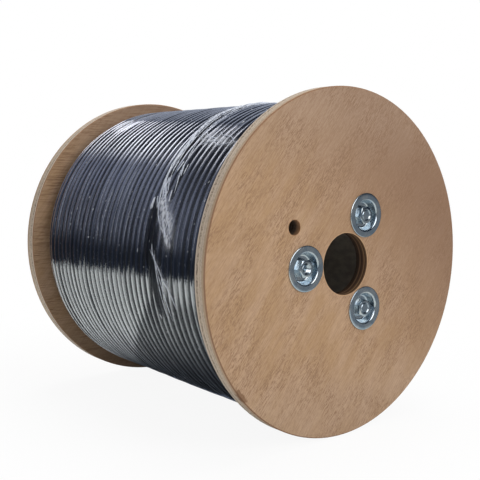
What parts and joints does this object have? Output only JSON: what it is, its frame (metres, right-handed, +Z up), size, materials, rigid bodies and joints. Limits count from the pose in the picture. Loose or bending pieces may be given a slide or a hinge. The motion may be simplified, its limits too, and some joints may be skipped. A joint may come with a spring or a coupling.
{
  "type": "wooden cable drum",
  "caption": "Plywood drum full of black cable under clear stretch film: round flanges on a cardboard barrel, drawn together by tie rods with cup washers, with a spindle bore and a lead hole.",
  "frame": {"origin": "on the floor under the drum's middle, midway between the two rims it lies on", "axes": "+Y along the spindle bore from the front flange, which has the lead hole, to the back flange; +Z up; +X to the right as seen from the front"},
  "size_m": [0.28, 0.2914, 0.28],
  "materials": {
    "plywood": "matte",
    "cardboard": "matte",
    "zinc_steel": "satin",
    "black_cable": "gloss",
    "clear_film": "gloss"
  },
  "bodies": {
    "root": {"flange_front": "plywood", "flange_back": "plywood", "barrel_tube": "cardboard", "cable_winding": "black_cable", "stretch_film": "clear_film", "cup_washers": "zinc_steel", "hex_nuts": "zinc_steel", "tie_rod_1": "zinc_steel", "tie_rod_2": "zinc_steel", "tie_rod_3": "zinc_steel"}
  },
  "joints": []
}
